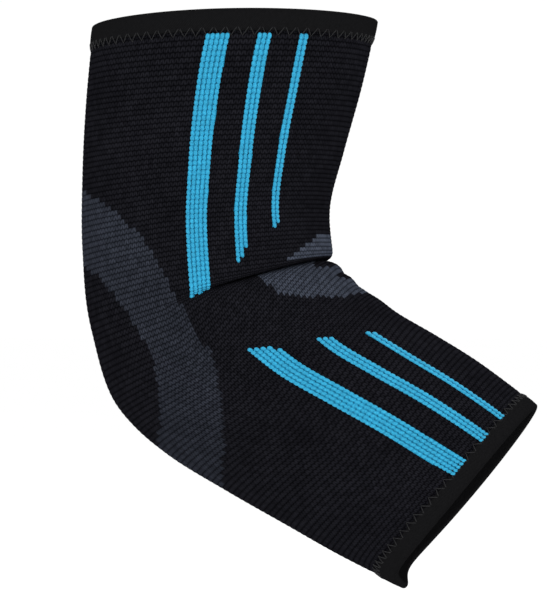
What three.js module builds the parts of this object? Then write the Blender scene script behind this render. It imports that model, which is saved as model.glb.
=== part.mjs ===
// Knitted elbow brace in its worn form, for an elbow bent by about 58 degrees: one seamless knit tube
// with a deep fold in the crook of the elbow, and a folded tape binding round each open end.
//
// Millimetres. +Z runs up the upper arm, +X out over the forearm, and the brace is symmetric about the
// XZ plane. The origin is the middle of the hollow at the elbow.
import * as THREE from "three";

// Lie of the two limbs, in degrees: the upper arm leans from +Z towards +X, the forearm drops from +X
const UPPER_LEAN = 3.5;
const FOREARM_DROP = 35.3;

// Reach of the knit along each limb from the elbow, and the depth and width that its sections follow
const UPPER_REACH = 110.6;
const FOREARM_REACH = 119.9;
const ARM_DEPTH = 100;
const ARM_WIDTH = 92;

// The knit wall, and how far each face of it is pressed in under a binding
const WALL = 1.8;
const HEM_PRESS = 0.55;

// The fold: how deep it goes at the front, how many degrees it climbs on its way in, the open gap
// between its flanks, how much rounder than the wall its lips are, the angle from the back of the arm
// where it runs out, and the power of its growth from there to the front
const FOLD_DEPTH = 16;
const FOLD_CLIMB = 18;
const FOLD_GAP = 0.8;
const LIP_EASE = 0.4;
const FOLD_END_ANGLE = 75;
const FOLD_POWER = 1.35;

// Knit courses, the rows of loops that run round the tube: all of them, those above the fold line at
// the back, and those that the fold takes in at the front above and below its line
const COURSES = 125;
const COURSES_ABOVE = 56;
const TUCKED_ABOVE = 5;
const TUCKED_BELOW = 19;

// Bindings: how far the tape reaches over the knit, its thickness and its clearance to the knit, the
// shoulder and the middle of each leg, as shares of its reach, and how full the bend is half way round
const BINDING_REACH = 7.2;
const TAPE = 0.7;
const CLEARANCE = 0.3;
const SHOULDER_SHARE = 0.94;
const MIDDLE_SHARE = 0.5;
const BEND_SHARE = 0.75;

// Fineness of the mesh: steps round the tube, rows above and below the fold, and the rows over one side
// of the fold from its bottom (0) past its lip to the plain knit (1)
const ROUND_STEPS = 48;
const ROWS_ABOVE = 8;
const ROWS_BELOW = 9;
const FOLD_ROWS = [0, 0.07, 0.2, 0.38, 0.53, 0.63, 0.71, 0.79, 0.89, 1];
const FOLD_MARGIN = 5;

// Sections from the upper edge (station 0) through the fold line (1) to the lower edge (2).
// along: place on the limb's axis, as a share of its reach
// turn: tilt of the section, 0 square to the upper arm and 1 square to the forearm
// back, front: reach either side of the axis, as shares of ARM_DEPTH
// side: half width, as a share of ARM_WIDTH
// taper: how much narrower the back of the section is than its front
// rise: how far its two sides stand up the arm from its plane, as a share of ARM_DEPTH
// tail: how far the hem curls out along the underside, as a share of ARM_DEPTH
const SECTION_COLUMNS = ["station", "along", "turn", "back", "front", "side", "taper", "rise", "tail"];
const SECTIONS = [
  [0.0, 1.004, 0.082, 0.541, 0.552, 0.52, 0.0, 0.024, 0.0],
  [0.25, 0.764, 0.117, 0.553, 0.511, 0.51, 0.0, 0.0, 0.0],
  [0.5, 0.529, 0.154, 0.553, 0.459, 0.5, 0.01, 0.0, 0.0],
  [0.75, 0.304, 0.236, 0.544, 0.424, 0.49, 0.04, 0.0, 0.0],
  [1.0, 0.067, 0.346, 0.505, 0.466, 0.49, 0.09, 0.0, 0.0],
  [1.18, 0.148, 0.484, 0.585, 0.47, 0.5, 0.12, 0.0, 0.0],
  [1.27, 0.235, 0.55, 0.601, 0.458, 0.5, 0.1, 0.0, 0.0],
  [1.36, 0.322, 0.611, 0.594, 0.443, 0.5, 0.08, 0.0, 0.0],
  [1.53, 0.501, 0.69, 0.556, 0.447, 0.49, 0.05, 0.0, 0.0],
  [1.7, 0.68, 0.77, 0.513, 0.449, 0.475, 0.02, 0.0, 0.0],
  [1.85, 0.842, 0.845, 0.478, 0.441, 0.45, 0.0, 0.0, 0.0],
  [2.0, 0.978, 0.926, 0.432, 0.431, 0.425, 0.0, -0.01, 0.058],
];
const FOLD_STATION = 1;
const LAST_STATION = 2;

// How far a section is squarer than an ellipse, and how wide the curl of the lower hem is, in degrees
const SQUARENESS = 0.03;
const TAIL_WIDTH = 21;

const RADIANS = Math.PI / 180;
const lerp = THREE.MathUtils.lerp;
const clamp = THREE.MathUtils.clamp;
const smoothstep = THREE.MathUtils.smoothstep;

// A unit vector in the XZ plane, from its angle above +X.
function planeVector(angle) {
  return new THREE.Vector3(Math.cos(angle), 0, Math.sin(angle));
}

const LIMBS = {
  upper: planeVector((90 - UPPER_LEAN) * RADIANS).multiplyScalar(UPPER_REACH),
  fore: planeVector(-FOREARM_DROP * RADIANS).multiplyScalar(FOREARM_REACH),
};

// The back and front points of one row of the table, with its other values in millimetres.
function placeSection(values) {
  const row = Object.fromEntries(values.map((value, i) => [SECTION_COLUMNS[i], value]));
  const tilt = lerp(-UPPER_LEAN, 90 - FOREARM_DROP, row.turn) * RADIANS;
  const across = planeVector(tilt);
  const limb = row.station > FOLD_STATION ? LIMBS.fore : LIMBS.upper;
  const middle = limb.clone().multiplyScalar(row.along);
  const back = middle.clone().addScaledVector(across, -row.back * ARM_DEPTH);
  const front = middle.clone().addScaledVector(across, row.front * ARM_DEPTH);
  return {
    station: row.station,
    backX: back.x,
    backZ: back.z,
    frontX: front.x,
    frontZ: front.z,
    side: row.side * ARM_WIDTH,
    taper: row.taper,
    rise: row.rise * ARM_DEPTH,
    tail: row.tail * ARM_DEPTH,
  };
}

const PLACED = SECTIONS.map(placeSection);

// The slope of one column between two rows of the table.
function chordSlope(i, column) {
  const a = PLACED[i];
  const b = PLACED[i + 1];
  return (b[column] - a[column]) / (b.station - a.station);
}

// The slope of one column at a row, seen from the stretch that starts at row `stretch`. The front of
// the sleeve has a corner at the fold line, and every other column runs smoothly through all rows.
function rowSlope(row, stretch, column) {
  const isCorner = column.startsWith("front") && PLACED[row].station === FOLD_STATION;
  if (row === 0 || row === PLACED.length - 1 || isCorner) return chordSlope(stretch, column);
  const before = PLACED[row].station - PLACED[row - 1].station;
  const after = PLACED[row + 1].station - PLACED[row].station;
  const weighted = chordSlope(row - 1, column) * after + chordSlope(row, column) * before;
  return weighted / (before + after);
}

// One column of the table at any station, as a smooth curve through its rows.
function columnAt(station, column) {
  let i = 0;
  while (i < PLACED.length - 2 && station > PLACED[i + 1].station) i += 1;
  const width = PLACED[i + 1].station - PLACED[i].station;
  const t = (station - PLACED[i].station) / width;
  const startSlope = rowSlope(i, i, column) * width;
  const endSlope = rowSlope(i + 1, i, column) * width;
  return (
    (2 * t ** 3 - 3 * t ** 2 + 1) * PLACED[i][column] +
    (t ** 3 - 2 * t ** 2 + t) * startSlope +
    (3 * t ** 2 - 2 * t ** 3) * PLACED[i + 1][column] +
    (t ** 3 - t ** 2) * endSlope
  );
}

// The outer surface of the sleeve before it folds. The angle runs from the back of the arm (0) over
// the near side (a quarter turn) to the front (half a turn).
function sleeveSurface(station, angle) {
  const back = new THREE.Vector3(columnAt(station, "backX"), 0, columnAt(station, "backZ"));
  const front = new THREE.Vector3(columnAt(station, "frontX"), 0, columnAt(station, "frontZ"));
  const middle = back.clone().add(front).multiplyScalar(0.5);
  const reach = front.clone().sub(back).multiplyScalar(0.5);
  const fullness = 1 + SQUARENESS * Math.sin(2 * angle) ** 2;
  const width = columnAt(station, "side") * (1 - columnAt(station, "taper") * Math.cos(angle));
  const fromBack = Math.abs(THREE.MathUtils.euclideanModulo(angle + Math.PI, 2 * Math.PI) - Math.PI);
  const curl = columnAt(station, "tail") * Math.exp(-((fromBack / RADIANS / TAIL_WIDTH) ** 2));
  const upArm = new THREE.Vector3(-reach.z, 0, reach.x).normalize();
  return middle
    .addScaledVector(reach, -fullness * Math.cos(angle))
    .addScaledVector(upArm, columnAt(station, "rise") * Math.sin(angle) ** 2)
    .addScaledVector(LIMBS.fore.clone().normalize(), curl)
    .add(new THREE.Vector3(0, -fullness * width * Math.sin(angle), 0));
}

// The share of the whole fold that is there at an angle: none at the back, all of it at the front.
function foldShare(angle) {
  const fromBack = Math.acos(Math.cos(angle)) / RADIANS;
  const t = clamp((fromBack - FOLD_END_ANGLE) / (180 - FOLD_END_ANGLE), 0, 1);
  return Math.sin((t * Math.PI) / 2) ** FOLD_POWER;
}

// The way into the arm from the fold line: in along the plane of the fold, climbing up the arm.
function foldInward(angle) {
  const back = sleeveSurface(FOLD_STATION, 0);
  const reach = sleeveSurface(FOLD_STATION, Math.PI).sub(back).normalize();
  const upArm = new THREE.Vector3(-reach.z, 0, reach.x);
  const level = reach.multiplyScalar(Math.cos(angle)).add(new THREE.Vector3(0, Math.sin(angle), 0));
  const climb = FOLD_CLIMB * RADIANS;
  return level.multiplyScalar(Math.cos(climb)).addScaledVector(upArm, Math.sin(climb));
}

// Length of one course along the limb, and of one course down a flank of the fold.
const COURSE_PITCH = (UPPER_REACH + FOREARM_REACH) / (COURSES - (TUCKED_ABOVE + TUCKED_BELOW) / 2);
const FLANK_PITCH = (2 * FOLD_DEPTH) / (TUCKED_ABOVE + TUCKED_BELOW);

// Courses over which a lip turns, for its outer radius to be that of the wall and its ease.
const LIP_TURN = (() => {
  const diagonal = (COURSE_PITCH ** 2 + FLANK_PITCH ** 2) ** 1.5;
  return ((WALL + LIP_EASE) * diagonal) / (4 * COURSE_PITCH * FLANK_PITCH);
})();

// Share of the fold from which its lips and flanks are at their sharpest.
const SHARP_SHARE = 0.2;

// A ramp that is 0 below zero and x above it, rounded within `turn` of zero.
function softRamp(x, turn) {
  if (Math.abs(x) >= turn) return Math.max(0, x);
  return (x + turn) ** 2 / (4 * turn);
}

// How the courses lie at an angle: how many there are above and below the fold, and half of those in it.
function courseCounts(angle) {
  const share = foldShare(angle);
  return {
    share,
    above: COURSES_ABOVE - TUCKED_ABOVE * share,
    below: COURSES - COURSES_ABOVE - TUCKED_BELOW * share,
    halfTuck: ((TUCKED_ABOVE + TUCKED_BELOW) * share) / 2,
  };
}

// The outer surface of the knit, folded. `knit` is the share of all courses, from the upper edge.
function foldedSurface(knit, angle) {
  const { share, above, below, halfTuck } = courseCounts(angle);
  const sharp = Math.min(1, share / SHARP_SHARE);
  const offset = knit * COURSES - above - halfTuck;
  const gap = (sharp * FOLD_GAP) / 2 / COURSE_PITCH;
  const rounded = Math.sqrt(offset * offset + sharp * sharp);
  const side = rounded > 0 ? offset / rounded : 0;
  const past = softRamp(rounded - halfTuck, sharp * LIP_TURN);
  const depth = FLANK_PITCH * sharp * softRamp(halfTuck - rounded, LIP_TURN);
  const stretch = gap + (offset < 0 ? above : below);
  const station = clamp(FOLD_STATION + (side * (gap + past)) / stretch, 0, LAST_STATION);
  return sleeveSurface(station, angle).addScaledVector(foldInward(angle), depth);
}

// The step over which the slopes of the surface are taken, as a share of all courses and in radians.
const SLOPE_STEP = 1e-3;

// The outward normal of the folded surface.
function outward(knit, angle) {
  const low = Math.max(0, knit - SLOPE_STEP);
  const high = Math.min(1, knit + SLOPE_STEP);
  const down = foldedSurface(high, angle).sub(foldedSurface(low, angle));
  const round = foldedSurface(knit, angle + SLOPE_STEP).sub(foldedSurface(knit, angle - SLOPE_STEP));
  return down.cross(round).normalize();
}

// Share of all courses that a binding covers.
const HEM_SHARE = BINDING_REACH / (COURSE_PITCH * COURSES);

// A point `out` millimetres from the unpressed outer face of the knit.
function knitPoint(knit, angle, out) {
  return foldedSurface(knit, angle).addScaledVector(outward(knit, angle), out);
}

// How far from the edge the knit is at its full thickness again, as a share of what a binding covers.
const HEM_RELEASE = 1.4;

// How far the knit is pressed in at a place: fully under the bindings, not at all past them.
function hemPress(knit) {
  const fromEdge = Math.min(knit, 1 - knit) / HEM_SHARE;
  return HEM_PRESS * (1 - smoothstep(fromEdge, 1, HEM_RELEASE));
}

// A ring of angles, one for each step round the tube.
const ANGLES = Array.from({ length: ROUND_STEPS }, (_, i) => (2 * Math.PI * i) / ROUND_STEPS);

// A closed mesh from rings of points: each ring joins the next, and the last joins the first.
function ringMesh(rings) {
  const positions = rings.flat().flatMap((p) => [p.x, p.y, p.z]);
  const faces = [];
  rings.forEach((ring, i) => {
    const next = (i + 1) % rings.length;
    ring.forEach((_, j) => {
      const turn = (j + 1) % ring.length;
      const [a, b] = [i * ring.length + j, i * ring.length + turn];
      const [c, d] = [next * ring.length + j, next * ring.length + turn];
      faces.push(a, c, b, b, c, d);
    });
  });
  const geometry = new THREE.BufferGeometry();
  geometry.setAttribute("position", new THREE.Float32BufferAttribute(positions, 3));
  geometry.setIndex(faces);
  geometry.computeVertexNormals();
  return geometry;
}

// Places of the mesh's rows along the knit at an angle: close under the hems, along the lips and down the
// flanks of the fold, and wide elsewhere.
function knitRows(angle) {
  const { above, halfTuck } = courseCounts(angle);
  const foldMiddle = (above + halfTuck) / COURSES;
  const foldReach = (halfTuck + FOLD_MARGIN) / COURSES;
  const hem = [0, 0.5, 1, HEM_RELEASE].map((share) => share * HEM_SHARE);
  const hemEnd = HEM_RELEASE * HEM_SHARE;
  const plainRows = (from, to, steps) =>
    Array.from({ length: steps - 1 }, (_, i) => lerp(from, to, (i + 1) / steps));
  return [
    ...hem,
    ...plainRows(hemEnd, foldMiddle - foldReach, ROWS_ABOVE),
    ...FOLD_ROWS.map((share) => foldMiddle - share * foldReach).reverse(),
    ...FOLD_ROWS.slice(1).map((share) => foldMiddle + share * foldReach),
    ...plainRows(foldMiddle + foldReach, 1 - hemEnd, ROWS_BELOW),
    ...hem.map((place) => 1 - place).reverse(),
  ];
}

function knitSleeve() {
  const columns = ANGLES.map((angle) => ({ angle, rows: knitRows(angle) }));
  const ring = (row, out) => columns.map((c) => knitPoint(c.rows[row], c.angle, out(c.rows[row])));
  const rows = columns[0].rows.map((_, row) => row);
  const outer = rows.map((row) => ring(row, (knit) => -hemPress(knit)));
  const inner = rows.map((row) => ring(row, (knit) => hemPress(knit) - WALL));
  return ringMesh([...outer, ...inner.reverse()]);
}

// One binding, a tape folded over the edge of the knit. `edge` is 0 at the upper edge and 1 at the
// lower one.
function binding(edge) {
  const into = edge === 0 ? 1 : -1;
  const outerFace = CLEARANCE - HEM_PRESS;
  const innerFace = HEM_PRESS - WALL - CLEARANCE;
  const core = -WALL / 2;
  const halfChannel = outerFace - core;
  const leg = (share, out) => ANGLES.map((a) => knitPoint(edge + into * share * HEM_SHARE, a, out));
  const past = (out, ahead) =>
    ANGLES.map((a) => {
      const inside = foldedSurface(edge + into * SLOPE_STEP, a);
      const onward = foldedSurface(edge, a).sub(inside).setLength(ahead);
      return knitPoint(edge, a, out).add(onward);
    });
  const bendOut = BEND_SHARE * (halfChannel + TAPE);
  const bendAhead = BEND_SHARE * (CLEARANCE + TAPE);
  const rings = [
    leg(1, outerFace),
    leg(SHOULDER_SHARE, outerFace + TAPE),
    leg(MIDDLE_SHARE, outerFace + TAPE),
    leg(0, outerFace + TAPE),
    past(core + bendOut, bendAhead),
    past(core, CLEARANCE + TAPE),
    past(core - bendOut, bendAhead),
    leg(0, innerFace - TAPE),
    leg(MIDDLE_SHARE, innerFace - TAPE),
    leg(SHOULDER_SHARE, innerFace - TAPE),
    leg(1, innerFace),
    leg(MIDDLE_SHARE, innerFace),
    past(innerFace, CLEARANCE),
    past(outerFace, CLEARANCE),
    leg(MIDDLE_SHARE, outerFace),
  ];
  return ringMesh(edge === 0 ? rings.reverse() : rings);
}

const knitYarn = new THREE.MeshStandardMaterial({ color: 0x15171c, roughness: 0.95, metalness: 0 });
const bindingTape = new THREE.MeshStandardMaterial({ color: 0x1d1d1d, roughness: 0.85, metalness: 0 });

function piece(name, geometry, material) {
  const mesh = new THREE.Mesh(geometry, material);
  mesh.name = name;
  return mesh;
}

const group = new THREE.Group();
group.add(piece("knit_sleeve", knitSleeve(), knitYarn));
group.add(piece("upper_binding", binding(0), bindingTape));
group.add(piece("lower_binding", binding(1), bindingTape));

export default group;
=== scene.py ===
"""Knitted elbow brace in its worn form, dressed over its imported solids.

The brace's sizes are in millimetres and become metres where its meshes are made. The studio's are in metres.
"""

import logging
from dataclasses import dataclass
from enum import Enum
from typing import ClassVar

import bpy
import numpy as np
from mathutils import Color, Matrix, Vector


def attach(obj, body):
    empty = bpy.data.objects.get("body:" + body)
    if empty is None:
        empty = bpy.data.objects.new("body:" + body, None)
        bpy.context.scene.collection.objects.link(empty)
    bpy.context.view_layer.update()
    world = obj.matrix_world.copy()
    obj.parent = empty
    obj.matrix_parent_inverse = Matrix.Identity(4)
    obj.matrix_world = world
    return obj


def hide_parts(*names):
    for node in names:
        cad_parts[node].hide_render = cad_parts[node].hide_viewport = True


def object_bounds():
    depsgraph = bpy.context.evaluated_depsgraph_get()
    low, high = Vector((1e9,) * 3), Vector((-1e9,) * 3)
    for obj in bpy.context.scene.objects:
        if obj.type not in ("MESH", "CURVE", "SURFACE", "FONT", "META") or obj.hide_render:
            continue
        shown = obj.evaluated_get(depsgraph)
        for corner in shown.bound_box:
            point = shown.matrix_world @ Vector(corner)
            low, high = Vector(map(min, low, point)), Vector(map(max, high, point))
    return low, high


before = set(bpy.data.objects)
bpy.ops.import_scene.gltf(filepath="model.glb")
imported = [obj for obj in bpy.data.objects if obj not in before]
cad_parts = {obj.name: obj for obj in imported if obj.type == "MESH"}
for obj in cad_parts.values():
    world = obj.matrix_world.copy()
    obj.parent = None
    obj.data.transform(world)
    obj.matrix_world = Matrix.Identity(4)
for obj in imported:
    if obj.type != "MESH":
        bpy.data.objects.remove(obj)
cad_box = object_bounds()

LOG = logging.getLogger("elbow_brace")
MM = 0.001
# Points of a seam that are closer than this, in metres, become one.
SEAM_REACH = 1e-7

Rows = tuple[tuple[float, ...], ...]
Triple = tuple[float, float, float]
Piece = bpy.types.Object
Socket = bpy.types.NodeSocket
Input = Socket | float | tuple[float, ...]


def unit(vectors: np.ndarray) -> np.ndarray:
    """The vectors at length 1."""
    return vectors / np.linalg.norm(vectors, axis=-1, keepdims=True)


def eased(share: np.ndarray) -> np.ndarray:
    """A share kept from 0 to 1 and eased at both ends."""
    share = np.clip(share, 0, 1)
    return share * share * (3 - 2 * share)


def turn_angles(steps: int, shift: float = 0.0) -> np.ndarray:
    """The angles of even steps round a full turn, in radians, moved on by a share of a step."""
    return (np.arange(steps) + shift) * 2 * np.pi / steps


def degrees_from_back(angle: np.ndarray) -> np.ndarray:
    """How far angles in radians are from the back of the arm, on either side: 0 to 180 degrees."""
    return np.degrees(np.abs(np.mod(angle + np.pi, 2 * np.pi) - np.pi))


class Edge(Enum):
    """The two open ends of the sleeve, as shares of the knit."""

    UPPER = 0.0
    LOWER = 1.0


class Yarn(Enum):
    """The yarns of the knit besides black, and the face attribute that each one has."""

    GREY = "yarn_grey"
    BLUE = "yarn_blue"


@dataclass(frozen=True)
class SleeveForm:
    """The folded surface of the sleeve, in millimetres, with the sections of the solids.

    A place on it is a share of all courses, from the upper edge, and an angle from the back of the arm (0)
    over the near side (a quarter turn) to the front (half a turn). Only the lips of its fold differ from the
    solids': they are crisper and a little further apart, as lip_ease and fold_gap say.

    A section is its station, its place along its limb, its turn towards the forearm, its reach to the back
    and to the front, its half width, and the taper, rise and tail that shape it, all but the first as shares.
    """

    upper_lean: float = 3.5
    forearm_drop: float = 35.3
    upper_reach: float = 110.6
    forearm_reach: float = 119.9
    arm_depth: float = 100.0
    arm_width: float = 92.0
    wall: float = 1.8
    hem_press: float = 0.55
    fold_depth: float = 16.0
    fold_climb: float = 18.0
    fold_gap: float = 1.0
    lip_ease: float = 0.1
    fold_end_angle: float = 75.0
    courses: int = 125
    courses_above: int = 56
    tucked_above: int = 5
    tucked_below: int = 19
    binding_reach: float = 7.2
    squareness: float = 0.03
    tail_width: float = 21.0
    sharp_share: float = 0.2
    fold_power: float = 1.35
    hem_release: float = 1.4
    sections: Rows = (
        (0.0, 1.004, 0.082, 0.541, 0.552, 0.52, 0.0, 0.024, 0.0),
        (0.25, 0.764, 0.117, 0.553, 0.511, 0.51, 0.0, 0.0, 0.0),
        (0.5, 0.529, 0.154, 0.553, 0.459, 0.5, 0.01, 0.0, 0.0),
        (0.75, 0.304, 0.236, 0.544, 0.424, 0.49, 0.04, 0.0, 0.0),
        (1.0, 0.067, 0.346, 0.505, 0.466, 0.49, 0.09, 0.0, 0.0),
        (1.18, 0.148, 0.484, 0.585, 0.47, 0.5, 0.12, 0.0, 0.0),
        (1.27, 0.235, 0.55, 0.601, 0.458, 0.5, 0.1, 0.0, 0.0),
        (1.36, 0.322, 0.611, 0.594, 0.443, 0.5, 0.08, 0.0, 0.0),
        (1.53, 0.501, 0.69, 0.556, 0.447, 0.49, 0.05, 0.0, 0.0),
        (1.7, 0.68, 0.77, 0.513, 0.449, 0.475, 0.02, 0.0, 0.0),
        (1.85, 0.842, 0.845, 0.478, 0.441, 0.45, 0.0, 0.0, 0.0),
        (2.0, 0.978, 0.926, 0.432, 0.431, 0.425, 0.0, -0.01, 0.058),
    )
    fold_station: ClassVar[float] = 1.0
    front_columns: ClassVar[tuple[int, int]] = (3, 4)
    slope_step: ClassVar[float] = 1e-3
    least_turn: ClassVar[float] = 1e-9
    least_offset: ClassVar[float] = 1e-12

    @staticmethod
    def plane_vector(angle: float) -> np.ndarray:
        """A unit vector in the XZ plane, from its angle above +X in radians."""
        return np.array([np.cos(angle), 0.0, np.sin(angle)])

    def limb(self, below: bool) -> np.ndarray:
        """The axis of a limb from the elbow to its end of the sleeve.

        Args:
            below: Whether it is the forearm.

        Returns:
            The axis, as long as the limb's reach.
        """
        if below:
            return self.plane_vector(-np.radians(self.forearm_drop)) * self.forearm_reach
        return self.plane_vector(np.radians(90 - self.upper_lean)) * self.upper_reach

    def placed(self) -> np.ndarray:
        """Puts the sections in place.

        Returns:
            Station, back x and z, front x and z, half width, taper, rise and tail of each section.
        """
        rows = []
        for station, along, turn, back, front, side, taper, rise, tail in self.sections:
            lean, drop = -self.upper_lean, 90 - self.forearm_drop
            across = self.plane_vector(np.radians(lean + (drop - lean) * turn))
            middle = self.limb(station > self.fold_station) * along
            near = middle - across * back * self.arm_depth
            far = middle + across * front * self.arm_depth
            rows.append([station, near[0], near[2], far[0], far[2], side * self.arm_width, taper,
                         rise * self.arm_depth, tail * self.arm_depth])
        return np.array(rows)

    def columns(self, station: np.ndarray) -> list[np.ndarray]:
        """Every column of the sections at the stations given, as smooth curves through the rows.

        Args:
            station: Stations, 0 at the upper edge, 1 at the fold line and 2 at the lower edge.

        Returns:
            The columns after the station, each with the shape of the stations.
        """
        rows = self.placed()
        where = rows[:, 0]
        chord = np.diff(rows, axis=0) / np.diff(where)[:, None]
        i = np.clip(np.searchsorted(where, station, side="left") - 1, 0, len(where) - 2)
        width = where[i + 1] - where[i]
        t = (station - where[i]) / width
        found = []
        for column in range(1, rows.shape[1]):
            left, right = chord[:, column].copy(), chord[:, column].copy()
            for row in range(1, len(where) - 1):
                # The front of the tube keeps its corner at the fold line.
                if column in self.front_columns and where[row] == self.fold_station:
                    continue
                before, after = where[row] - where[row - 1], where[row + 1] - where[row]
                slope = (chord[row - 1, column] * after + chord[row, column] * before) / (before + after)
                left[row], right[row - 1] = slope, slope
            value = rows[:, column]
            found.append((2 * t**3 - 3 * t**2 + 1) * value[i] + (t**3 - 2 * t**2 + t) * left[i] * width
                         + (3 * t**2 - 2 * t**3) * value[i + 1] + (t**3 - t**2) * right[i] * width)
        return found

    def surface(self, station: np.ndarray, angle: np.ndarray) -> np.ndarray:
        """The outer surface before it folds.

        Args:
            station: Stations of the points.
            angle: Their angles from the back of the arm, in radians.

        Returns:
            The points.
        """
        back_x, back_z, front_x, front_z, side, taper, rise, tail = self.columns(station)
        zero = np.zeros_like(station)
        middle = np.stack([(back_x + front_x) / 2, zero, (back_z + front_z) / 2], -1)
        reach = np.stack([(front_x - back_x) / 2, zero, (front_z - back_z) / 2], -1)
        full = 1 + self.squareness * np.sin(2 * angle) ** 2
        width = side * (1 - taper * np.cos(angle))
        curl = tail * np.exp(-((degrees_from_back(angle) / self.tail_width) ** 2))
        up_arm = unit(np.stack([-reach[..., 2], zero, reach[..., 0]], -1))
        place = middle + reach * (-full * np.cos(angle))[..., None]
        place = place + up_arm * (rise * np.sin(angle) ** 2)[..., None]
        place = place + self.limb(True) / self.forearm_reach * curl[..., None]
        place[..., 1] -= full * width * np.sin(angle)
        return place

    def fold_share(self, angle: np.ndarray) -> np.ndarray:
        """The share of the whole fold that is there at an angle.

        Args:
            angle: Angles from the back of the arm, in radians.

        Returns:
            The shares: none at the back, all of the fold at the front.
        """
        ahead = (degrees_from_back(angle) - self.fold_end_angle) / (180 - self.fold_end_angle)
        return np.sin(np.clip(ahead, 0, 1) * np.pi / 2) ** self.fold_power

    def fold_inward(self, angle: np.ndarray) -> np.ndarray:
        """The way into the arm from the fold line: in along its plane, climbing up the arm.

        Args:
            angle: Angles from the back of the arm, in radians.

        Returns:
            A unit vector for each angle.
        """
        ends = self.surface(np.full(2, self.fold_station), np.array([0.0, np.pi]))
        reach = unit(ends[1] - ends[0])
        up_arm = np.array([-reach[2], 0.0, reach[0]])
        climb = np.radians(self.fold_climb)
        side = np.array([0.0, 1.0, 0.0])
        level = np.cos(angle)[..., None] * reach + np.sin(angle)[..., None] * side
        return level * np.cos(climb) + up_arm * np.sin(climb)

    @property
    def course_pitch(self) -> float:
        """Length of one course along the limb."""
        tucked = (self.tucked_above + self.tucked_below) / 2
        return (self.upper_reach + self.forearm_reach) / (self.courses - tucked)

    @staticmethod
    def soft_ramp(x: np.ndarray, turn: np.ndarray) -> np.ndarray:
        """A ramp that is 0 below zero and x above it, rounded within turn of zero."""
        turn = np.maximum(turn, SleeveForm.least_turn)
        return np.where(np.abs(x) >= turn, np.maximum(0, x), (x + turn) ** 2 / (4 * turn))

    def folded(self, knit: np.ndarray, angle: np.ndarray) -> np.ndarray:
        """The outer surface of the knit, folded.

        Args:
            knit: Shares of all courses, from the upper edge.
            angle: Angles from the back of the arm, in radians.

        Returns:
            The points.
        """
        # The courses in sight above and below the fold line, and half of those that the fold takes in.
        share = self.fold_share(angle)
        above = self.courses_above - self.tucked_above * share
        below = self.courses - self.courses_above - self.tucked_below * share
        half_tuck = (self.tucked_above + self.tucked_below) * share / 2
        # Each tucked course climbs a flank of the fold, and a rounded lip joins the flank to the limb.
        pitch = self.course_pitch
        flank = 2 * self.fold_depth / (self.tucked_above + self.tucked_below)
        lip_turn = (self.wall + self.lip_ease) * (pitch**2 + flank**2) ** 1.5 / (4 * pitch * flank)
        sharp = np.minimum(1, share / self.sharp_share)
        offset = knit * self.courses - above - half_tuck
        gap = sharp * self.fold_gap / 2 / pitch
        rounded = np.sqrt(offset**2 + sharp**2)
        side = np.where(rounded > 0, offset / np.maximum(rounded, self.least_offset), 0)
        past = self.soft_ramp(rounded - half_tuck, sharp * lip_turn)
        depth = flank * sharp * self.soft_ramp(half_tuck - rounded, np.full_like(rounded, lip_turn))
        stretch = gap + np.where(offset < 0, above, below)
        station = np.clip(self.fold_station + side * (gap + past) / stretch, 0, 2)
        return self.surface(station, angle) + self.fold_inward(angle) * depth[..., None]

    def outward(self, knit: np.ndarray, angle: np.ndarray) -> np.ndarray:
        """The outward normal of the folded surface.

        Args:
            knit: Shares of all courses, from the upper edge.
            angle: Angles from the back of the arm, in radians.

        Returns:
            A unit vector for each place.
        """
        step = self.slope_step
        low, high = np.maximum(0, knit - step), np.minimum(1, knit + step)
        down = self.folded(high, angle) - self.folded(low, angle)
        around = self.folded(knit, angle + step) - self.folded(knit, angle - step)
        return unit(np.cross(down, around))

    def point(self, knit: np.ndarray, angle: np.ndarray, out: np.ndarray | float) -> np.ndarray:
        """A point so many millimetres out from the outer face of the knit."""
        out = np.asarray(out) * np.ones_like(knit)
        return self.folded(knit, angle) + self.outward(knit, angle) * out[..., None]

    def hem_press_at(self, knit: np.ndarray) -> np.ndarray:
        """How far the knit is pressed in under a binding.

        Args:
            knit: Shares of all courses, from the upper edge.

        Returns:
            Millimetres: all of the press under the bindings, none past them.
        """
        reach = self.binding_reach / (self.course_pitch * self.courses)
        past = (np.minimum(knit, 1 - knit) / reach - 1) / (self.hem_release - 1)
        return self.hem_press * (1 - eased(past))


def linear(colour: Triple) -> tuple[float, ...]:
    """A screen colour of three values to 255, as the linear colour and alpha of a shader."""
    return (*Color([value / 255 for value in colour]).from_srgb_to_scene_linear(), 1.0)


@dataclass(frozen=True)
class Grain:
    """Noise on Object coordinates: its scale per metre, its detail and the values that it runs between."""

    scale: float
    detail: float
    low: float
    high: float


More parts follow.
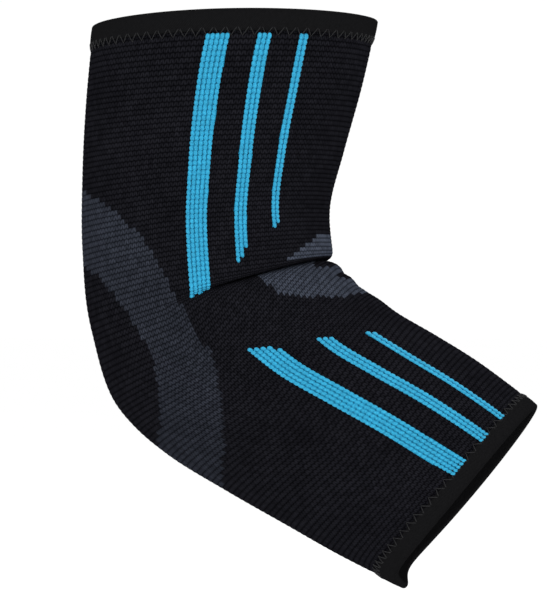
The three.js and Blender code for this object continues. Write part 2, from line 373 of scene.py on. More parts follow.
class Bench:
    """The node tree of one material, with short ways to add nodes."""

    sheen_roughness: ClassVar[float] = 0.5
    noise_span: ClassVar[tuple[float, float]] = (0.25, 0.75)

    def __init__(self, name: str, roughness: float, specular: float, sheen: float) -> None:
        """Starts a material.

        Args:
            name: The material's name.
            roughness: Roughness of the surface.
            specular: Specular level.
            sheen: Weight of the sheen.
        """
        self.material = bpy.data.materials.new(name)
        self.material.use_nodes = True
        self.tree = self.material.node_tree
        self.shader = self.tree.nodes["Principled BSDF"]
        levels = {"Roughness": roughness, "Specular IOR Level": specular, "Sheen Weight": sheen,
                  "Sheen Roughness": self.sheen_roughness}
        for socket, level in levels.items():
            self.shader.inputs[socket].default_value = level

    def add(self, kind: str) -> bpy.types.Node:
        """Adds a shader node of a kind."""
        return self.tree.nodes.new(f"ShaderNode{kind}")

    def plug(self, socket: Socket, value: Input) -> None:
        """Links a socket, or sets its value.

        Args:
            socket: The input.
            value: An output to link to it, or its value.
        """
        if isinstance(value, Socket):
            self.tree.links.new(value, socket)
        else:
            socket.default_value = value

    def math(self, operation: str, *values: Input, clamp: bool = False) -> Socket:
        """A Math node.

        Args:
            operation: The node's operation.
            values: Its inputs, sockets or numbers.
            clamp: Whether the result is kept from 0 to 1.

        Returns:
            The result's socket.
        """
        node = self.add("Math")
        node.operation = operation
        node.use_clamp = clamp
        for socket, value in zip(node.inputs, values):
            self.plug(socket, value)
        return node.outputs[0]

    def mix(self, share: Input, first: Input, second: Input) -> Socket:
        """A mix of two colours.

        Args:
            share: The second colour's share.
            first: The first colour.
            second: The second colour.

        Returns:
            The colour's socket.
        """
        node = self.add("Mix")
        node.data_type = "RGBA"
        self.plug(node.inputs["Factor"], share)
        self.plug(node.inputs["A"], first)
        self.plug(node.inputs["B"], second)
        return node.outputs["Result"]

    def tint(self, colour: Input, share: Input) -> Socket:
        """A colour times a number.

        Args:
            colour: The colour, a socket or a value.
            share: The number.

        Returns:
            The colour's socket.
        """
        node = self.add("VectorMath")
        node.operation = "SCALE"
        self.plug(node.inputs[0], colour if isinstance(colour, Socket) else colour[:3])
        self.plug(node.inputs["Scale"], share)
        return node.outputs[0]

    def attribute(self, name: str) -> Socket:
        """A number that the mesh carries.

        Args:
            name: The attribute's name.

        Returns:
            The number's socket.
        """
        node = self.add("Attribute")
        node.attribute_name = name
        return node.outputs["Fac"]

    def uv(self) -> tuple[Socket, Socket]:
        """The piece's own UV map.

        Returns:
            The sockets of its two numbers.
        """
        split = self.add("SeparateXYZ")
        self.plug(split.inputs[0], self.add("TexCoord").outputs["UV"])
        return split.outputs[0], split.outputs[1]

    def noise(self, grain: Grain) -> Socket:
        """Noise on Object coordinates, between two values.

        Args:
            grain: The noise's scale, detail and values.

        Returns:
            The number's socket.
        """
        node = self.add("TexNoise")
        node.inputs["Scale"].default_value = grain.scale
        node.inputs["Detail"].default_value = grain.detail
        self.plug(node.inputs["Vector"], self.add("TexCoord").outputs["Object"])
        span = self.add("MapRange")
        for socket, value in zip(span.inputs, (node.outputs[0], *self.noise_span, grain.low, grain.high)):
            self.plug(socket, value)
        return span.outputs[0]

    def each_stitch(self, low: float, high: float) -> Socket:
        """A random number for each stitch, one whole step of the UV map.

        Args:
            low: The lowest number.
            high: The highest number.

        Returns:
            The number's socket.
        """
        whole = self.add("VectorMath")
        whole.operation = "FLOOR"
        self.plug(whole.inputs[0], self.add("TexCoord").outputs["UV"])
        node = self.add("TexWhiteNoise")
        node.noise_dimensions = "2D"
        self.plug(node.inputs["Vector"], whole.outputs[0])
        return self.math("MULTIPLY_ADD", node.outputs["Value"], high - low, low)

    def bump(self, height: Socket, distance: float, strength: float) -> None:
        """Presses a height into the shader's normal.

        Args:
            height: The height's socket.
            distance: How far one unit of it stands out, in metres.
            strength: Strength of the bump.
        """
        node = self.add("Bump")
        node.inputs["Strength"].default_value = strength
        node.inputs["Distance"].default_value = distance
        self.plug(node.inputs["Height"], height)
        self.plug(self.shader.inputs["Normal"], node.outputs[0])

    def done(self, colour: Socket) -> bpy.types.Material:
        """Gives the shader its colour and returns the material."""
        self.plug(self.shader.inputs["Base Color"], colour)
        return self.material


@dataclass(frozen=True)
class KnitFinish:
    """The ribbed knit: black ground with grey and blue yarns where the stitches say so."""

    black: Triple = (21, 21, 25)
    grey: Triple = (59, 64, 75)
    # The blue yarn under the loops, drawn darker than the loops: the blue yarn with painted shade in the gaps
    # between them.
    blue_ground_shaded: Triple = (38, 142, 180)
    roughness: float = 0.9
    specular: float = 0.0
    sheen: float = 0.0
    # Painted shade and light: groove_shade, ridge_shade and wale_gap_shade set how far the colour darkens in
    # the grooves between courses and between wales, and lightens on the crests.
    groove_shade: float = 0.17
    ridge_shade: float = 1.3
    ridge_power: float = 0.55
    wale_gap_shade: float = 0.72
    under_shade: float = 0.7
    stitch_variety: float = 0.2
    leg_start: float = 0.1
    leg_spread: float = 0.28
    leg_width: float = 0.24
    fibre: Grain = Grain(1400, 3, 0.75, 1.25)
    wear: Grain = Grain(55, 2, 0.88, 1.12)
    fibre_height: float = 0.2
    bump_distance: float = 0.0004
    bump_strength: float = 0.8

    def make(self) -> bpy.types.Material:
        """Builds the material.

        Returns:
            The material.
        """
        bench = Bench("knit_yarn_ribbed", self.roughness, self.specular, self.sheen)
        wale, course = bench.uv()
        down = bench.math("FRACT", course)
        across = bench.math("ABSOLUTE", bench.math("SUBTRACT", bench.math("FRACT", wale), 0.5))
        leg = bench.math("MULTIPLY_ADD", down, self.leg_spread, self.leg_start)
        off = bench.math("DIVIDE", bench.math("SUBTRACT", across, leg), self.leg_width)
        plump = bench.math("SUBTRACT", 1.0, bench.math("MULTIPLY", off, off), clamp=True)
        crest = bench.math("SINE", bench.math("MULTIPLY", down, np.pi))
        ridge = bench.math("POWER", crest, self.ridge_power)
        loop = bench.math("MULTIPLY", plump, ridge)
        colour = bench.mix(bench.attribute(Yarn.GREY.value), linear(self.black), linear(self.grey))
        blue = bench.attribute(Yarn.BLUE.value)
        colour = bench.mix(blue, colour, linear(self.blue_ground_shaded))
        # Painted shade and light in the knit's relief: darker between the wales and in the grooves, lighter
        # on the crests.
        wale_shade = bench.math("MULTIPLY_ADD", plump, self.wale_gap_shade, 1 - self.wale_gap_shade)
        lit = bench.math("MULTIPLY", wale_shade, ridge)
        depth = bench.math("MULTIPLY_ADD", lit, self.ridge_shade, self.groove_shade)
        # Painted shade under the blue loops goes no darker than under_shade.
        depth = bench.math("MAXIMUM", depth, bench.math("MULTIPLY", blue, self.under_shade))
        fibre = bench.noise(self.fibre)
        wear = bench.noise(self.wear)
        stitch = bench.each_stitch(1 - self.stitch_variety, 1 + self.stitch_variety)
        depth = bench.math("MULTIPLY", depth, stitch)
        # The painted shade and light, with random tone by stitch, fibre and wear, scale the yarn's colour.
        colour = bench.tint(colour, bench.math("MULTIPLY", depth, bench.math("MULTIPLY", fibre, wear)))
        height = bench.math("MULTIPLY_ADD", fibre, self.fibre_height, loop)
        bench.bump(height, self.bump_distance, self.bump_strength)
        return bench.done(colour)


@dataclass(frozen=True)
class YarnFinish:
    """A plain spun yarn, for the blue loops and the sewing thread."""

    name: str
    colour: Triple
    shade: Triple
    roughness: float = 0.75
    specular: float = 0.2
    sheen: float = 0.05
    fibre: Grain = Grain(1800, 3, 0.0, 1.0)
    patch: Grain = Grain(420, 2, 0.88, 1.12)
    bump_distance: float = 0.00015
    bump_strength: float = 0.6

    def make(self) -> bpy.types.Material:
        """Builds the material.

        Returns:
            The material.
        """
        bench = Bench(self.name, self.roughness, self.specular, self.sheen)
        fibre = bench.noise(self.fibre)
        patch = bench.noise(self.patch)
        colour = bench.tint(bench.mix(fibre, linear(self.shade), linear(self.colour)), patch)
        bench.bump(fibre, self.bump_distance, self.bump_strength)
        return bench.done(colour)


@dataclass(frozen=True)
class TapeFinish:
    """The smooth tape of the bindings, with a fine twill."""

    # Painted shade and light: the tape's colour follows the twill's relief, lighter on its crests and darker
    # in its grooves.
    light: Triple = (24, 24, 25)
    twill_groove_shade: Triple = (13, 13, 14)
    roughness: float = 0.75
    specular: float = 0.0
    sheen: float = 0.0
    twill_around: float = 3.0
    twill_over: float = 2.0
    fibre: Grain = Grain(1600, 2, 0.8, 1.2)
    bump_distance: float = 0.00012
    bump_strength: float = 0.5

    def make(self) -> bpy.types.Material:
        """Builds the material.

        Returns:
            The material.
        """
        bench = Bench("binding_tape_twill", self.roughness, self.specular, self.sheen)
        around, over = bench.uv()
        over = bench.math("MULTIPLY", over, self.twill_over)
        slant = bench.math("MULTIPLY_ADD", around, self.twill_around, over)
        wave = bench.math("SINE", bench.math("MULTIPLY", slant, 2 * np.pi))
        rib = bench.math("MULTIPLY_ADD", wave, 0.5, 0.5)
        fibre = bench.noise(self.fibre)
        # Painted shade and light along the twill's wave.
        colour = bench.mix(rib, linear(self.twill_groove_shade), linear(self.light))
        bench.bump(rib, self.bump_distance, self.bump_strength)
        return bench.done(bench.tint(colour, fibre))


@dataclass(frozen=True)
class PaperFinish:
    """The plain pale floor."""

    colour: Triple = (253, 253, 253)
    roughness: float = 0.95
    grain: Grain = Grain(3, 1, 0.995, 1.0)

    def make(self) -> bpy.types.Material:
        """Builds the material."""
        bench = Bench("pale_floor", self.roughness, specular=0.0, sheen=0.0)
        return bench.done(bench.tint(linear(self.colour), bench.noise(self.grain)))


def deselect() -> None:
    """Leaves nothing selected and nothing in edit mode."""
    if bpy.context.object and bpy.context.object.mode != "OBJECT":
        bpy.ops.object.mode_set(mode="OBJECT")
    bpy.ops.object.select_all(action="DESELECT")


def smooth_outwards(piece: Piece, merge_seams: bool) -> None:
    """Turns a piece's faces outwards and smooths it.

    Args:
        piece: The piece.
        merge_seams: Whether doubled points, as on the seams of a bent grid, are merged first.
    """
    deselect()
    piece.select_set(True)
    bpy.context.view_layer.objects.active = piece
    bpy.ops.object.mode_set(mode="EDIT")
    bpy.ops.mesh.select_all(action="SELECT")
    if merge_seams:
        bpy.ops.mesh.remove_doubles(threshold=SEAM_REACH)
    bpy.ops.mesh.normals_make_consistent(inside=False)
    bpy.ops.object.mode_set(mode="OBJECT")
    bpy.ops.object.shade_smooth()


def ring_wall(name: str, rings: np.ndarray, uv_rows: np.ndarray) -> Piece:
    """Bends a grid into a closed wall: its rows join end to end, and its last ring meets its first.

    Its seams are still open, so that each face has a UV of its own, until smooth_outwards merges them.

    Args:
        name: The piece's name.
        rings: Points in millimetres, by ring and by step round the tube.
        uv_rows: The V value of each ring, and of the first one again at the end.

    Returns:
        The object, with its place in its mesh.
    """
    count, steps = rings.shape[:2]
    deselect()
    bpy.ops.mesh.primitive_grid_add(x_subdivisions=steps, y_subdivisions=count, size=1)
    wall = bpy.context.object
    wall.name = wall.data.name = name
    mesh = wall.data
    flat = np.zeros(len(mesh.vertices) * 3)
    mesh.vertices.foreach_get("co", flat)
    flat = flat.reshape(-1, 3)
    column = np.rint((flat[:, 0] + 0.5) * steps).astype(int)
    row = np.rint((flat[:, 1] + 0.5) * count).astype(int)
    moved = rings[row % count, column % steps] * MM
    mesh.vertices.foreach_set("co", moved.ravel())
    corner = np.zeros(len(mesh.loops), int)
    mesh.loops.foreach_get("vertex_index", corner)
    uv = np.stack([column[corner], uv_rows[row[corner]]], -1).astype(float)
    mesh.uv_layers.active.data.foreach_set("uv", uv.ravel())
    mesh.update()
    return wall


def face_steps(wall: Piece) -> np.ndarray:
    """The mean UV of every face of a wall.

    Args:
        wall: The wall, made of four-cornered faces.

    Returns:
        Two numbers for each face.
    """
    mesh = wall.data
    uv = np.zeros(len(mesh.loops) * 2)
    mesh.uv_layers.active.data.foreach_get("uv", uv)
    return uv.reshape(-1, 4, 2).mean(axis=1)


def shells(name: str, points: np.ndarray, faces: np.ndarray) -> Piece:
    """Makes one piece of many copies of a small closed shell.

    Args:
        name: The piece's name.
        points: Points in millimetres, by copy and by corner of the shell.
        faces: The shell's faces, four corners each.

    Returns:
        The object, smooth, with its place in its mesh.
    """
    copies, corners = points.shape[:2]
    every = faces[None] + (np.arange(copies) * corners)[:, None, None]
    mesh = bpy.data.meshes.new(name)
    mesh.from_pydata((points.reshape(-1, 3) * MM).tolist(), [], every.reshape(-1, faces.shape[1]).tolist())
    piece = bpy.data.objects.new(name, mesh)
    bpy.context.scene.collection.objects.link(piece)
    smooth_outwards(piece, merge_seams=False)
    return piece


def tube_faces(rings: int, sides: int) -> np.ndarray:
    """The faces of a short tube that is closed at both ends.

    Args:
        rings: How many rings of points the tube has.
        sides: How many points a ring has, an even number.

    Returns:
        The four corners of each face.
    """
    start, side = np.arange(rings - 1)[:, None] * sides, np.arange(sides)
    after = (side + 1) % sides
    walls = np.stack([start + side, start + after, start + sides + after, start + sides + side], -1)
    corner = np.arange(1, sides - 2, 2)
    cap = np.stack([np.zeros_like(corner), corner, corner + 1, corner + 2], -1)
    return np.concatenate([walls.reshape(-1, 4), cap, cap + (rings - 1) * sides])


def finish_piece(piece: Piece, material: bpy.types.Material) -> None:
    """Dresses a piece and lets it ride on the brace's one body.

    Args:
        piece: The piece.
        material: Its one material.
    """
    piece.data.materials.clear()
    piece.data.materials.append(material)
    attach(piece, "root")
    LOG.info("%s: %d faces", piece.name, len(piece.data.polygons))


@dataclass
class Stripe:
    """One stripe of blue loops on each side of the sleeve.

    The line gives the angle of the stripe's middle, in degrees from the back of the arm, by course. Starts
    and ends are the courses of each wale. A row of the bead is a ring of its loop, in millimetres: its middle
    across, down the limb and out from the knit, then its half width and half height.
    """

    name: str
    form: SleeveForm
    width: float
    line: Rows
    starts: tuple[int, ...]
    ends: tuple[int, ...]
    loop_width: float = 1.65
    bead: Rows = (
        (-0.18, -0.2, 0.0, 0.24, 0.14),
        (-0.13, 0.1, 0.17, 0.58, 0.28),
        (-0.06, 0.62, 0.3, 0.75, 0.36),
        (0.03, 1.22, 0.28, 0.78, 0.38),
        (0.11, 1.8, 0.12, 0.64, 0.33),
        (0.17, 2.36, -0.12, 0.32, 0.2),
    )
    cover_inset: float = 0.9
    sides: ClassVar[int] = 8
    line_degree: ClassVar[int] = 3

    @property
    def wales(self) -> int:
        """How many wales the stripe has."""
        return len(self.starts)

    def middle(self, course: np.ndarray) -> np.ndarray:
        """The angle of the stripe's middle at a course, in degrees."""
        stops, angles = np.array(self.line).T
        return np.polyval(np.polyfit(stops, angles, self.line_degree), np.clip(course, stops[0], stops[-1]))

    def covers(self, course: np.ndarray, angle: np.ndarray) -> np.ndarray:
        """Says which stitches of the ground the stripe covers.

        Args:
            course: Course of each stitch.
            angle: Degrees from the back of the arm, 0 to 180.

        Returns:
            1 for a covered stitch and 0 for any other.
        """
        off = angle - self.middle(course)
        wale = np.clip(np.floor((off / self.width + 0.5) * self.wales), 0, self.wales - 1).astype(int)
        begun = course > np.array(self.starts)[wale]
        going = course < np.array(self.ends)[wale]
        return ((np.abs(off) < self.width / 2 - self.cover_inset) & begun & going).astype(float)

    def loop(self) -> np.ndarray:
        """The shape of one loop.

        Returns:
            Its corners: across in wales, down in courses and out in millimetres.
        """
        rows = np.array(self.bead)
        turn = turn_angles(self.sides, 0.5)
        across = rows[:, :1] + rows[:, 3:4] * np.cos(turn)
        out = rows[:, 2:3] + rows[:, 4:5] * np.sin(turn)
        down = np.broadcast_to(rows[:, 1:2], across.shape)
        corners = np.stack([across, down, out], -1).reshape(-1, 3)
        return corners / [self.loop_width, self.form.course_pitch, 1.0]

    def build(self, material: bpy.types.Material) -> Piece:
        """Builds the loops of both sides as one piece.

        Args:
            material: The blue yarn.

        Returns:
            The piece.
        """
        across, down, out = self.loop().T
        step, copies = self.width / self.wales, []
        for wale, (start, end) in enumerate(zip(self.starts, self.ends)):
            place = np.arange(start, end)[:, None] + down
            angle = np.radians(self.middle(place) + (wale - (self.wales - 1) / 2 + across) * step)
            points = self.form.point(place / self.form.courses, angle, out)
            copies += [points, points * [1, -1, 1]]
        piece = shells(self.name, np.concatenate(copies), tube_faces(len(self.bead), self.sides))
        finish_piece(piece, material)
        return piece


@dataclass
class KnitSleeve:
    """The knitted tube, stitch by stitch: one column of faces to a wale, a few rows of them to a course.

    The edges of the grey ring and of the crook are angles, in degrees from the back of the arm, by course. An
    island of black is its first and last course and the angle that it starts at. A wrinkle is its course, the
    angle that it starts at, its height in millimetres and its width in courses. The shares of the ring and of
    the crook say how grey they are, by course.
    """

    form: SleeveForm
    wales: int = 174
    rows_per_course: int = 3
    rib_relief: float = 0.15
    ring_outer: Rows = (
        (29.4, -1), (29.9, 13), (31.2, 26.5), (33.8, 44.5), (36.2, 54.5), (39.8, 63.5), (41.8, 69.0),
        (45.8, 74.0), (51.8, 80.5), (59.8, 85.0), (69.8, 86.0), (74.2, 81.0), (79.8, 72.5), (86.5, 56.0),
        (91.0, 33.0), (92.4, 16), (93.0, -1),
    )
    ring_inner: Rows = (
        (44.0, -1), (44.3, 12), (45.0, 24.0), (47.5, 40.5), (51.8, 51.5), (55.2, 57.0), (62.0, 61.5),
        (65.8, 61.5), (70.0, 57.0), (74.2, 49.0), (77.0, 38.5), (79.0, 20.0), (79.6, 10), (79.8, -1),
    )
    # The crook stops at the turn of the fold's lip, about courses 51 to 54, and leaves it black there:
    # painted shade under the lip.
    crook: Rows = (
        (45.2, 181), (45.5, 160), (48.2, 145), (50.9, 136), (51.1, 181), (53.9, 181), (56, 124), (62, 121),
        (67, 122), (71.8, 125), (75.2, 132.5), (79.8, 142.5), (82.8, 153), (84.5, 168), (85.2, 181),
    )
    islands: Rows = (
        (71, 72, 161), (72, 73, 155), (73, 74, 153), (74, 75, 158), (75, 76, 164), (78, 79, 166),
        (79, 80, 170),
    )
    wrinkles: Rows = (
        (75.8, 150, 0.15, 1.2), (78.0, 147, -0.6, 0.9), (79.9, 152, 0.2, 1.0), (82.0, 158, -0.3, 1.0),
    )
    wrinkle_fade: float = 18.0
    # The crook's share is above the ring's: painted light on the crook, strongest above the fold.
    ring_share: Rows = ((30.0, 0.46), (55.0, 0.31), (92.0, 0.23))
    crook_lit_share: Rows = ((50.0, 1.0), (56.0, 0.7))
    behind_back: ClassVar[float] = -1.0
    past_front: ClassVar[float] = 181.0

    def grey_share(self, course: np.ndarray, angle: np.ndarray) -> np.ndarray:
        """Says which stitches are of grey yarn: a ring round the elbow and a patch in its crook.

        Args:
            course: Course of each stitch.
            angle: Degrees from the back of the arm, 0 to 180.

        Returns:
            The share of grey: most in the crook, as painted light there, and 0 for black.
        """
        back, front = self.behind_back, self.past_front
        outer = np.interp(course, *np.array(self.ring_outer).T, left=back, right=back)
        inner = np.interp(course, *np.array(self.ring_inner).T, left=back, right=back)
        crook = np.interp(course, *np.array(self.crook).T, left=front, right=front)
        ring = np.interp(course, *np.array(self.ring_share).T) * ((angle <= outer) & (angle > inner))
        grey = np.where(angle >= crook, np.interp(course, *np.array(self.crook_lit_share).T), ring)
        for low, high, start in self.islands:
            grey[(course >= low) & (course < high) & (angle >= start)] = 0
        return grey

    def wrinkle_relief(self, course: np.ndarray, angle: np.ndarray) -> np.ndarray:
        """How far the small wrinkles in the crook stand out.

        Args:
            course: Courses, from the upper edge.
            angle: Angles from the back of the arm, in radians.

        Returns:
            Millimetres out from the plain knit.
        """
        relief = np.zeros_like(course)
        for middle, start, height, width in self.wrinkles:
            grown = eased((degrees_from_back(angle) - start) / self.wrinkle_fade)
            relief += height * grown * np.exp(-(((course - middle) / width) ** 2))
        return relief

    def rows(self) -> np.ndarray:
        """The course of each row of points on the outer face, from the upper edge."""
        return np.arange(self.form.courses * self.rows_per_course + 1) / self.rows_per_course

    def rings(self) -> tuple[np.ndarray, np.ndarray]:
        """The points of the outer face, down the arm, and then of the inner face, back up it.

        Returns:
            The points by ring, and the course of each ring, with the first ring's again at the end.
        """
        form, rows, angles = self.form, self.rows(), turn_angles(self.wales)
        inner_rows = np.arange(form.courses, -1, -1, dtype=float)
        rib = -self.rib_relief / 2 * np.cos(2 * np.pi * (rows - np.floor(rows)))
        knit, turn = np.meshgrid(rows / form.courses, angles, indexing="ij")
        press = form.hem_press_at(knit)
        relief = rib[:, None] * (press <= 0) - press + self.wrinkle_relief(knit * form.courses, turn)
        outer = form.point(knit, turn, relief)
        knit, turn = np.meshgrid(inner_rows / form.courses, angles, indexing="ij")
        inner = form.point(knit, turn, form.hem_press_at(knit) - form.wall)
        return np.concatenate([outer, inner]), np.concatenate([rows, inner_rows, rows[:1]])

    def lay_yarns(self, sleeve: Piece, stripes: list[Stripe]) -> None:
        """Writes the yarn of each stitch on its faces. The inner face stays black.

        Args:
            sleeve: The sleeve, with its seams still open.
            stripes: The stripes, whose ground is blue.
        """
        place = face_steps(sleeve)
        course = np.floor(place[:, 1]) + 0.5
        angle = (np.floor(place[:, 0]) + 0.5) * 360 / self.wales
        angle = np.where(angle > 180, 360 - angle, angle)
        outside = np.arange(len(place)) < (len(self.rows()) - 1) * self.wales
        grey = self.grey_share(course, angle) * outside
        blue = np.max([stripe.covers(course, angle) for stripe in stripes], axis=0) * outside
        for yarn, value in ((Yarn.GREY, grey), (Yarn.BLUE, blue)):
            layer = sleeve.data.attributes.new(yarn.value, "FLOAT", "FACE")
            layer.data.foreach_set("value", value)

    def build(self, stripes: list[Stripe], material: bpy.types.Material) -> Piece:
        """Builds the sleeve, with the yarn of each stitch on its faces.

        Args:
            stripes: The stripes, whose ground is blue.
            material: The knit.

        Returns:
            The sleeve.
        """
        sleeve = ring_wall("knit_tube", *self.rings())
        self.lay_yarns(sleeve, stripes)
        smooth_outwards(sleeve, merge_seams=True)
        finish_piece(sleeve, material)
        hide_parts("knit_sleeve")
        return sleeve


@dataclass
class Binding:
    """A tape folded over one open end, with the zigzag stitch that holds it.

    The outer leg is shares of the tape's reach, with how far it swells there. The inner leg is flat. The
    thread steps down from the tape to the knit, and dips at each turn of the zigzag.
    """

    name: str
    node: str
    edge: Edge
    form: SleeveForm
    steps: int = 174
    tape: float = 0.7
    clearance: float = 0.3
    stitch_period: float = 4.2
    stitch_height: float = 3.5
    stitch_points: int = 8
    thread: float = 0.17
    thread_sides: int = 6
    thread_rise: float = 0.2
    thread_sink: float = 0.1
    dip: float = 0.35
    dip_start: float = 0.4
    dip_length: float = 0.1
    tape_step_end: float = 1.03
    tape_step: float = 0.06
    round_steps: int = 10
    outer_end: float = 0.55
    outer_leg: Rows = ((0.96, -0.05), (0.85, 0.05), (0.65, 0.12), (0.4, 0.14), (0.2, 0.08), (0.06, 0.0))
    inner_leg: tuple[float, ...] = (0.06, 0.3, 0.6, 0.96)
    inner_end: float = 0.5
    halfway: ClassVar[float] = 0.5

    def along(self, share: np.ndarray | float) -> np.ndarray | float:
        """The knit share at so many shares of the tape's reach from the edge."""
        reach = self.form.binding_reach / (self.form.course_pitch * self.form.courses)
        return self.edge.value + (1 - 2 * self.edge.value) * share * reach

    def profile(self) -> list[tuple[float, float, float]]:
        """The tape's section.

        Returns:
            Share of its reach, millimetres out and millimetres past the edge, for each of its points.
        """
        form = self.form
        outer = self.clearance - form.hem_press
        inner = form.hem_press - form.wall - self.clearance
        core, half = -form.wall / 2, outer + form.wall / 2
        crown = outer + self.tape
        rows = [(1.0, outer, 0), (1.0, outer + self.tape * self.outer_end, 0)]
        rows += [(share, crown + swell, 0) for share, swell in self.outer_leg]
        for turn in np.linspace(0, np.pi, self.round_steps):
            past = (self.clearance + self.tape) * np.sin(turn)
            rows.append((0.0, core + (half + self.tape) * np.cos(turn), past))
        rows += [(share, inner - self.tape, 0) for share in self.inner_leg]
        rows += [(1.0, inner - self.tape * self.inner_end, 0), (1.0, inner, 0), (self.halfway, inner, 0)]
        rows += [(0.0, inner, self.clearance), (0.0, outer, self.clearance), (self.halfway, outer, 0)]
        return rows

    def tape_point(self, share: float, angle: np.ndarray, out: float, past: float) -> np.ndarray:
        """The points round the tube at one place of the tape's section.

        Args:
            share: Share of the tape's reach.
            angle: Angles from the back of the arm, in radians.
            out: Millimetres out from the knit.
            past: Millimetres past the knit's edge.

        Returns:
            The points.
        """
        knit = np.full_like(angle, self.along(share))
        place = self.form.point(knit, angle, out)
        if past:
            edge = np.full_like(angle, self.edge.value)
            inside = np.full_like(angle, abs(self.edge.value - self.form.slope_step))
            place = place + unit(self.form.folded(edge, angle) - self.form.folded(inside, angle)) * past
        return place

    def build(self, tape: bpy.types.Material, thread: bpy.types.Material) -> list[Piece]:
        """Builds the tape and its stitches.

        Args:
            tape: The tape's material.
            thread: The stitches' material.

        Returns:
            The two pieces.
        """
        angles, section = turn_angles(self.steps), self.profile()
        rings = np.array([self.tape_point(share, angles, out, past) for share, out, past in section])
        wall = ring_wall(self.name, rings, np.arange(len(section) + 1, dtype=float))
        smooth_outwards(wall, merge_seams=True)
        finish_piece(wall, tape)
        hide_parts(self.node)
        stitches = self.stitches()
        finish_piece(stitches, thread)
        return [wall, stitches]

    def thread_line(self) -> tuple[np.ndarray, np.ndarray]:
        """The middle line of the zigzag thread: half on the tape, half on the knit, with dips at its turns.

        Returns:
            Its points, and the outward normal of the knit at each.
        """
        form = self.form
        edge = form.folded(np.full(self.steps, self.along(1.0)), turn_angles(self.steps))
        length = np.linalg.norm(np.roll(edge, -1, axis=0) - edge, axis=1).sum()
        count = int(round(length / self.stitch_period))
        turn = np.arange(count * self.stitch_points) / self.stitch_points
        angle = turn / count * 2 * np.pi
        swing = np.abs(2 * (turn - np.floor(turn)) - 1) - 0.5
        share = 1.0 + swing * self.stitch_height / form.binding_reach
        on_tape = np.clip((self.tape_step_end - share) / self.tape_step, 0, 1)
        dip = self.dip * np.clip((np.abs(swing) - self.dip_start) / self.dip_length, 0, 1)
        tape_top = self.clearance - form.hem_press + self.tape - self.thread_sink
        middle = form.point(self.along(share), angle, self.thread_rise + on_tape * tape_top - dip)
        return middle, form.outward(self.along(share), angle)

    def stitches(self) -> Piece:
        """Builds the zigzag thread, as one closed tube round the end.

        Returns:
            The piece, not dressed yet.
        """
        middle, normal = self.thread_line()
        along = unit(np.roll(middle, -1, axis=0) - np.roll(middle, 1, axis=0))
        side = unit(np.cross(along, normal))
        top = np.cross(side, along)
        spin = turn_angles(self.thread_sides)
        spread = side[:, None] * np.cos(spin)[None, :, None] + top[:, None] * np.sin(spin)[None, :, None]
        points = (middle[:, None] + spread * self.thread).transpose(1, 0, 2)
        name = self.name.replace("tape", "stitches")
        wall = ring_wall(name, points, np.arange(self.thread_sides + 1, dtype=float))
        smooth_outwards(wall, merge_seams=True)
        return wall


@dataclass(frozen=True)
class Softbox:
    """A square soft light: its place and side in metres, and its power in watts."""

    place: Triple
    size: float
    power: float


@dataclass
class Studio:
    """The pale floor, the soft lights and the camera at the photograph's angle, in metres."""

    azimuth: float = 9.0
    distance: float = 1.5
    target: Triple = (0.0224, 0.0, 0.0054)
    pixels_per_metre: float = 2600.0
    image_height: float = 600.0
    sensor: float = 36.0
    floor_drop: float = 0.2
    floor_size: float = 60.0
    clip_end: float = 200.0
    world_light: float = 1.02
    softboxes: tuple[Softbox, ...] = (
        Softbox((-1.1, -2.0, 1.5), 1.6, 13.0),
        Softbox((1.6, -1.4, 1.4), 1.4, 15.0),
        Softbox((0.2, 0.9, 2.2), 1.8, 16.0),
    )

    def build(self) -> None:
        """Builds all of it."""
        self.camera()
        self.floor()
        world = bpy.data.worlds.new("studio")
        world.use_nodes = True
        background = world.node_tree.nodes["Background"]
        background.inputs["Color"].default_value = (1, 1, 1, 1)
        background.inputs["Strength"].default_value = self.world_light
        bpy.context.scene.world = world
        for number, box in enumerate(self.softboxes):
            data = bpy.data.lights.new(f"softbox_{number}", "AREA")
            data.size, data.energy = box.size, box.power
            lamp = bpy.data.objects.new(data.name, data)
            lamp.location = box.place
            ahead = Vector(self.target) - Vector(box.place)
            lamp.rotation_euler = ahead.to_track_quat("-Z", "Y").to_euler()
            bpy.context.scene.collection.objects.link(lamp)
        bpy.context.scene.view_settings.view_transform = "Standard"

    def camera(self) -> None:
        """Places the camera."""
        data = bpy.data.cameras.new("camera")
        data.sensor_fit, data.sensor_height = "VERTICAL", self.sensor
        data.lens = self.sensor * self.distance * self.pixels_per_metre / self.image_height
        data.clip_end = self.clip_end
        camera = bpy.data.objects.new("camera", data)
        turn = np.radians(self.azimuth)
        away = Vector((np.sin(turn), -np.cos(turn), 0)) * self.distance
        camera.location = Vector(self.target) + away
        camera.rotation_euler = (-away).to_track_quat("-Z", "Y").to_euler()
        bpy.context.scene.collection.objects.link(camera)
        bpy.context.scene.camera = camera

    def floor(self) -> None:
        """Lays the floor well below the brace, which is held up by its mount."""
        deselect()
        level = cad_box[0].z - self.floor_drop
        bpy.ops.mesh.primitive_plane_add(size=self.floor_size, location=(0, 0, level))
        floor = bpy.context.object
        floor.name = "pale_floor"
        bpy.ops.object.transform_apply(location=True, rotation=True, scale=True)
        floor.data.materials.append(PaperFinish().make())


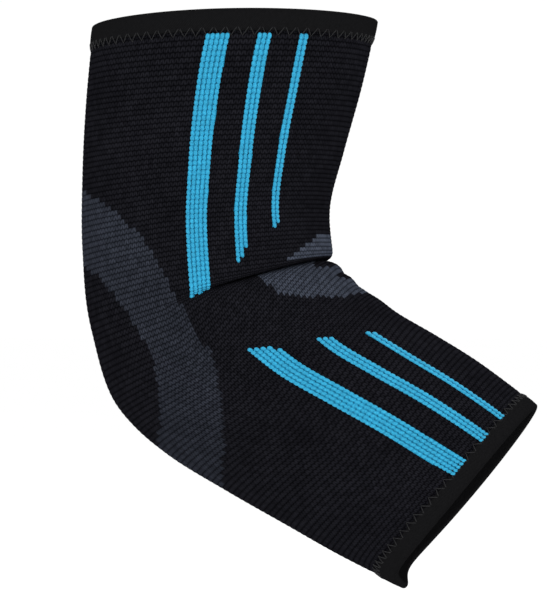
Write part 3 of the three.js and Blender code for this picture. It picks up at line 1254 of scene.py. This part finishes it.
def make_stripes(form: SleeveForm) -> list[Stripe]:
    """The three stripes of the upper arm and the three of the forearm.

    Args:
        form: The sleeve that they lie on.

    Returns:
        The stripes, each with its middle line, its wales' first courses and their ends.
    """
    top, bottom = 4, 122
    return [
        Stripe(
            "stripe_upper_wide", form, width=9.8,
            line=((4, 93.2), (12, 92.1), (19, 92.2), (26.5, 93.1), (34, 94.3), (39, 95), (46, 95.2),
                  (54, 94.3), (59, 93.2)),
            starts=(top,) * 5, ends=(58, 57, 58, 57, 57),
        ),
        Stripe(
            "stripe_upper_medium", form, width=5.8,
            line=((4, 111.7), (12, 110.9), (19, 111.5), (26.5, 112.5), (34, 114), (39, 115), (47, 114.8),
                  (51, 114.8)),
            starts=(top,) * 3, ends=(50, 49, 47),
        ),
        Stripe(
            "stripe_upper_thin", form, width=4.0,
            line=((4, 127.7), (12, 127.5), (19, 127.8), (26.5, 128.3), (34, 130.3), (40, 131.8), (43, 132.2)),
            starts=(top,) * 2, ends=(43, 42),
        ),
        Stripe(
            "stripe_lower_wide", form, width=10.2,
            line=((75, 102.8), (80, 103.5), (90, 103.6), (100, 103.6), (110, 104.4), (118, 105),
                  (122, 104.4)),
            starts=(75, 76, 77, 78, 80), ends=(bottom,) * 5,
        ),
        Stripe(
            "stripe_lower_medium", form, width=6.1,
            line=((86, 124.1), (93, 123.4), (102, 123.7), (111, 124), (117, 124.5), (121.5, 124)),
            starts=(85, 86, 87), ends=(bottom,) * 3,
        ),
        Stripe(
            "stripe_lower_thin", form, width=4.2,
            line=((92.5, 140.8), (100, 139.8), (108.5, 139.6), (117, 140.2), (121.5, 139.8)),
            starts=(92, 93), ends=(bottom,) * 2,
        ),
    ]


def main() -> None:
    """Builds the brace and its studio, and reports each piece."""
    logging.basicConfig(level=logging.INFO, format="%(name)s %(message)s")
    form = SleeveForm()
    stripes = make_stripes(form)
    Studio().build()
    sleeve = KnitSleeve(form).build(stripes, KnitFinish().make())
    blue = YarnFinish("blue_yarn", colour=(51, 167, 205), shade=(25, 126, 164)).make()
    loops = [stripe.build(blue) for stripe in stripes]
    tape = TapeFinish().make()
    thread = YarnFinish("sewing_thread", colour=(33, 33, 35), shade=(15, 15, 17)).make()
    trims = Binding("upper_tape", "upper_binding", Edge.UPPER, form).build(tape, thread)
    trims += Binding("lower_tape", "lower_binding", Edge.LOWER, form).build(tape, thread)


if __name__ == "__main__":
    main()
